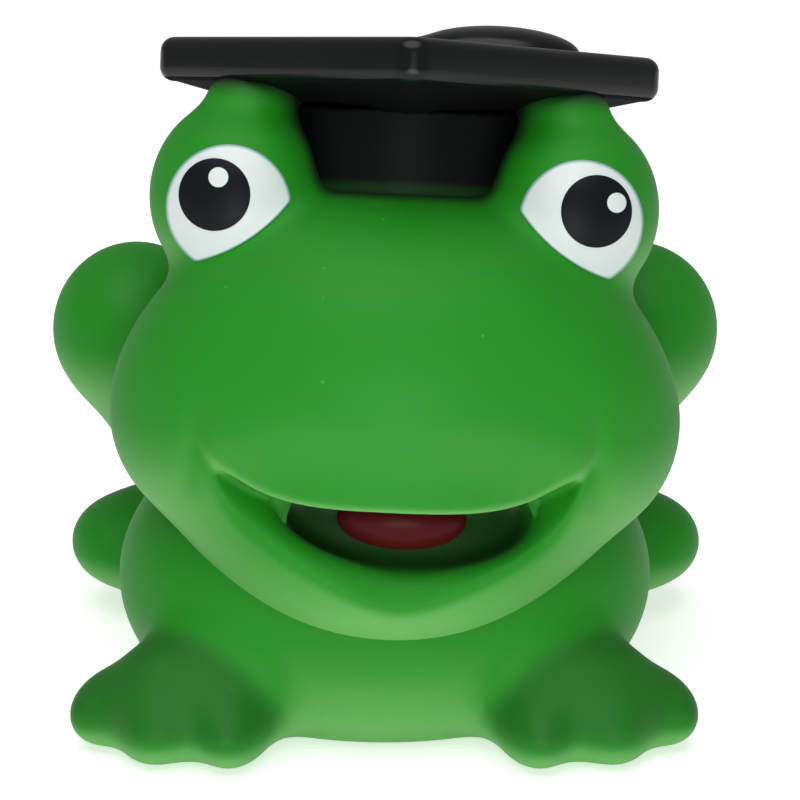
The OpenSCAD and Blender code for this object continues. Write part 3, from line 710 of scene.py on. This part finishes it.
def makeSpeckleGroup():
    # Cloudy colour, a few pale specks of dust and the fine grain of a moulded skin
    group = bpy.data.node_groups.new("mouldedSurface", "ShaderNodeTree")
    for way, name, kind in (("INPUT", "Vector", "Vector"), ("INPUT", "Colour", "Color"),
                            ("INPUT", "Cloud Size", "Float"), ("INPUT", "Cloud Amount", "Float"),
                            ("INPUT", "Speck Amount", "Float"), ("INPUT", "Roughness", "Float"),
                            ("OUTPUT", "Colour", "Color"), ("OUTPUT", "Roughness", "Float"),
                            ("OUTPUT", "Height", "Float")):
        group.interface.new_socket(name=name, in_out=way, socket_type="NodeSocket" + kind)
    start = group.nodes.new("NodeGroupInput").outputs
    end = group.nodes.new("NodeGroupOutput").inputs
    link = group.links.new
    cloud = group.nodes.new("ShaderNodeTexNoise")
    cloud.inputs["Detail"].default_value = moulding["cloudDetail"]
    link(start["Vector"], cloud.inputs["Vector"])
    link(start["Cloud Size"], cloud.inputs["Scale"])
    centred = addMath(group, "SUBTRACT", cloud.outputs["Fac"], 0.5)
    amount = addMath(group, "MULTIPLY", centred, start["Cloud Amount"])
    shade = group.nodes.new("ShaderNodeHueSaturation")
    link(start["Colour"], shade.inputs["Color"])
    link(addMath(group, "ADD", amount, 1.0), shade.inputs["Value"])
    specks = group.nodes.new("ShaderNodeTexVoronoi")
    specks.inputs["Scale"].default_value = moulding["speckScale"]
    link(start["Vector"], specks.inputs["Vector"])
    dot = addRange(group, specks.outputs["Distance"], moulding["speckEdge"], results=(1.0, 0.0))
    split = group.nodes.new("ShaderNodeSeparateColor")
    link(specks.outputs["Color"], split.inputs["Color"])
    rare = addMath(group, "GREATER_THAN", split.outputs[0], moulding["speckRarity"])
    dotMask = addMath(group, "MULTIPLY", dot, rare)
    dotStrength = addMath(group, "MULTIPLY", dotMask, start["Speck Amount"])
    colour = addMix(group, dotStrength, shade.outputs["Color"], srgb(*moulding["speckColour"]))
    link(colour, end["Colour"])
    grain = group.nodes.new("ShaderNodeTexNoise")
    grain.inputs["Scale"].default_value = moulding["grainScale"]
    grain.inputs["Detail"].default_value = moulding["grainDetail"]
    link(start["Vector"], grain.inputs["Vector"])
    link(addMath(group, "MULTIPLY_ADD", centred, moulding["roughShift"], start["Roughness"]),
         end["Roughness"])
    link(addMath(group, "MULTIPLY_ADD", dotMask, moulding["speckHeight"], grain.outputs["Fac"]),
         end["Height"])
    return group


finishes = {
    "greenVinyl": {"colour": (25, 135, 20), "roughness": 0.55, "cloudSize": 45, "cloudAmount": 0.12,
                   "speckAmount": 0.35, "bump": 0.25,
                   "shader": {"Subsurface Weight": 0.1, "Subsurface Radius": (0.2, 0.9, 0.2),
                              "Subsurface Scale": 1.5 * mm, "Specular IOR Level": 0.26,
                              "Sheen Weight": 0.02, "Sheen Roughness": 0.5}},
    "blackPaint": {"colour": (11, 14, 14), "roughness": 0.25, "cloudSize": 60, "cloudAmount": 0.3,
                   "bump": 0.15, "shader": {"Specular IOR Level": 0.28}},
    # The skull cap's copy of the black paint is darker and less glossy, standing in for the shade under
    # the board
    "crownShadePaint": {"colour": (9, 12, 12), "roughness": 0.42, "cloudSize": 60, "cloudAmount": 0.3,
                   "bump": 0.15, "shader": {"Specular IOR Level": 0.1}},
    # The board's underside copy reflects less, as painted shade
    "boardShadePaint": {"colour": (11, 13, 13), "roughness": 0.7, "cloudSize": 60, "cloudAmount": 0.3,
                   "bump": 0.15, "shader": {"Specular IOR Level": 0.06}},
    "pupilPaint": {"colour": (16, 20, 23), "roughness": 0.4, "cloudSize": 60, "cloudAmount": 0.2,
                   "bump": 0.05, "shader": {"Specular IOR Level": 0.12}},
    "whitePaint": {"colour": (214, 224, 221), "roughness": 0.35, "cloudSize": 60, "cloudAmount": 0.03,
                   "bump": 0.1},
    "redPaint": {"colour": (74, 12, 18), "roughness": 0.35, "cloudSize": 120, "cloudAmount": 0.3,
                 "bump": 0.1, "shader": {"Specular IOR Level": 0.1}},
    "whitePlastic": {"colour": (232, 230, 220), "roughness": 0.4, "cloudSize": 80, "cloudAmount": 0.05,
                     "bump": 0.2},
    "greyPlastic": {"colour": (205, 205, 200), "roughness": 0.35, "cloudSize": 80, "cloudAmount": 0.05,
                    "bump": 0.2},
    "reedFilm": {"colour": (220, 180, 105), "roughness": 0.25, "cloudSize": 200, "cloudAmount": 0.1,
                 "bump": 0.1},
}


def baseMaterial(name, group, colour, roughness, cloudSize, cloudAmount, bump, speckAmount=0.0,
                 shader=()):
    material = bpy.data.materials.new(name)
    material.use_nodes = True
    graph = material.node_tree
    link = graph.links.new
    principled = graph.nodes["Principled BSDF"].inputs
    place = graph.nodes.new("ShaderNodeTexCoord")
    surface = graph.nodes.new("ShaderNodeGroup")
    surface.node_tree = group
    surface.name = "Moulded Surface"
    for key, value in (("Colour", srgb(*colour)), ("Roughness", roughness), ("Cloud Size", cloudSize),
                       ("Cloud Amount", cloudAmount), ("Speck Amount", speckAmount)):
        surface.inputs[key].default_value = value
    link(place.outputs["Object"], surface.inputs["Vector"])
    link(surface.outputs["Colour"], principled["Base Color"])
    link(surface.outputs["Roughness"], principled["Roughness"])
    relief = graph.nodes.new("ShaderNodeBump")
    relief.inputs["Strength"].default_value = bump
    relief.inputs["Distance"].default_value = moulding["bumpDepth"] * mm
    link(surface.outputs["Height"], relief.inputs["Height"])
    link(relief.outputs["Normal"], principled["Normal"])
    for key, value in dict(shader).items():
        principled[key].default_value = value
    return material


def mixByMask(material, maskName, start, end, colour, most=1.0):
    # The colour turns to the given one as the mask goes from start to end
    graph = material.node_tree
    base = graph.nodes["Principled BSDF"].inputs["Base Color"]
    mask = graph.nodes.new("ShaderNodeAttribute")
    mask.attribute_name = maskName
    share = addRange(graph, mask.outputs["Fac"], (start, end), (0.0, most), "SMOOTHSTEP")
    graph.links.new(addMix(graph, share, base.links[0].from_socket, srgb(*colour)), base)


def copyMaterial(material, name):
    copy = material.copy()
    copy.name = name
    return copy


def giveMaterial(piece, material):
    piece.data.materials.clear()
    piece.data.materials.append(material)


# Stage, light and camera

view = {
    "cameraAt": (2.0, -423.0, 180.0), "pitch": 18.45, "lens": 154.8, "sensor": 36.0,
    "worldLight": 0.3, "floorSize": 3000.0, "floorDrop": 0.02,
    "floorShade": 0.9, "floorRoughness": 0.8, "floorGlow": (0.3, 0.55),  # for the toy, for the camera
}
lamps = {
    "topLamp": {"at": (-0.06, -0.22, 0.80), "aim": (0, 0, 0.04), "size": 0.9, "power": 4.5},
    "tableLamp": {"at": (0, -0.25, 0.02), "aim": (0, -0.02, 0.04), "size": 0.2, "power": 0.3},
    "frontLamp": {"at": (0.05, -0.85, 0.30), "aim": (0, 0, 0.04), "size": 0.35, "power": 0.2},
}
white = (1, 1, 1, 1)


def makeStage():
    deselectAll()
    bpy.ops.mesh.primitive_plane_add(size=view["floorSize"] * mm,
                                     location=(0, 0, -view["floorDrop"] * mm))
    floor = namePiece(bpy.context.object, "studioFloor")
    material = bpy.data.materials.new("paleFloor")
    material.use_nodes = True
    graph = material.node_tree
    shader = graph.nodes["Principled BSDF"].inputs
    shade = view["floorShade"]
    shader["Base Color"].default_value = (shade, shade, shade, 1)
    shader["Roughness"].default_value = view["floorRoughness"]
    shader["Emission Color"].default_value = white
    path = graph.nodes.new("ShaderNodeLightPath")
    # The camera sees a brighter floor than the toy does
    glow = addRange(graph, path.outputs["Is Camera Ray"], (0.0, 1.0), view["floorGlow"])
    graph.links.new(glow, shader["Emission Strength"])
    giveMaterial(floor, material)


def makeWorld():
    world = bpy.data.worlds.new("studio")
    bpy.context.scene.world = world
    world.use_nodes = True
    graph = world.node_tree
    graph.nodes.clear()
    out = graph.nodes.new("ShaderNodeOutputWorld")
    light = graph.nodes.new("ShaderNodeBackground")
    light.inputs["Color"].default_value = white
    path = graph.nodes.new("ShaderNodeLightPath").outputs
    # White where it is seen, plain light elsewhere
    seen = addMath(graph, "MAXIMUM", path["Is Camera Ray"], path["Is Transmission Ray"])
    strength = addRange(graph, seen, (0.0, 1.0), (view["worldLight"], 1.0))
    graph.links.new(strength, light.inputs["Strength"])
    graph.links.new(light.outputs[0], out.inputs["Surface"])


def addLamp(name, at, aim, size, power):
    data = bpy.data.lights.new(name, "AREA")
    data.shape = "DISK"
    data.size = size
    data.energy = power
    lamp = bpy.data.objects.new(name, data)
    bpy.context.scene.collection.objects.link(lamp)
    lamp.location = at
    lamp.rotation_euler = (Vector(aim) - Vector(at)).to_track_quat("-Z", "Y").to_euler()


def makeLights():
    for name, lamp in lamps.items():
        addLamp(name, **lamp)


def makeCamera():
    data = bpy.data.cameras.new("photoCamera")
    data.lens = view["lens"]
    data.sensor_width = view["sensor"]
    camera = bpy.data.objects.new("photoCamera", data)
    bpy.context.scene.collection.objects.link(camera)
    camera.location = Vector(view["cameraAt"]) * mm
    camera.rotation_euler = (math.radians(90 - view["pitch"]), 0, 0)
    bpy.context.scene.camera = camera


# Making it all

makeCamera()
headSkin = makeHead()
print("head made:", len(headSkin.data.polygons), "faces")
bodySkin = makeBody()
print("torso and front feet made:", len(bodySkin.data.polygons), "faces")
legPieces = makeLegs()
print("hind legs made:", len(legPieces[0].data.polygons), "faces each")
eyePieces = makeEyes()
tonguePiece = makeTongue()
crownPiece, boardPiece, tasselPiece = makeCap()
print("eyes, tongue and cap made")

mouldedSurface = makeSpeckleGroup()
finish = {name: baseMaterial(name, mouldedSurface, **values) for name, values in finishes.items()}
greenVinyl = finish["greenVinyl"]
# Painted light: skin that faces down is painted paler green, standing in for light bounced up from the
# floor
mixByMask(greenVinyl, "paintedUnderLight", start=-0.1, end=0.8, colour=(122, 190, 106), most=0.7)
headVinyl = copyMaterial(greenVinyl, "headVinyl")
# Painted shade: the mouth's hollow is painted dark green, standing in for the shadow under the upper lip
mixByMask(headVinyl, "hollow", start=1.9, end=0.3, colour=(8, 34, 8), most=0.85)
mixByMask(headVinyl, "toCap", start=2.8, end=-0.3, colour=(12, 20, 13))
bodyVinyl = copyMaterial(greenVinyl, "bodyVinyl")
# Painted shade: the tops of the front feet are painted darker green, standing in for the shadow under
# the head
mixByMask(bodyVinyl, "paintedFootShade", start=-0.2, end=0.9, colour=(20, 92, 18), most=0.75)
# The skull cap's foot shows the unpainted green of the vinyl, painted darker green as shade along its
# step
mixByMask(finish["crownShadePaint"], "foot", start=1.7, end=0.7, colour=(17, 50, 18))
mixByMask(finish["whitePaint"], "rim", start=0.94, end=0.99, colour=(120, 165, 155))

giveMaterial(headSkin, headVinyl)
giveMaterial(bodySkin, bodyVinyl)
for piece in legPieces:
    giveMaterial(piece, greenVinyl)
for piece in eyePieces["white"] + eyePieces["glint"]:
    giveMaterial(piece, finish["whitePaint"])
for piece in eyePieces["pupil"]:
    giveMaterial(piece, finish["pupilPaint"])
giveMaterial(tonguePiece, finish["redPaint"])
giveMaterial(crownPiece, finish["crownShadePaint"])
giveMaterial(tasselPiece, finish["blackPaint"])
giveMaterial(boardPiece, finish["blackPaint"])
# The board's underside gets a darker, duller copy of the black paint, standing in for the shade under
# the board
boardPiece.data.materials.append(finish["boardShadePaint"])
for face in boardPiece.data.polygons:
    face.material_index = int(face.normal.z < cap["dullFacing"])
for name, look in (("squeaker_housing", "whitePlastic"), ("squeaker_cover", "whitePlastic"),
                   ("squeaker_reed_channel", "greyPlastic"), ("squeaker_reed_wedge", "greyPlastic"),
                   ("squeaker_reed", "reedFilm")):
    giveMaterial(nodes[name], finish[look])
print("materials made")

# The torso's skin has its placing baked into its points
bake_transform(bodySkin)

makeStage()
makeWorld()
makeLights()
print("floor, world and lamps made")
bpy.context.scene.view_settings.view_transform = "Standard"
bpy.context.view_layer.update()
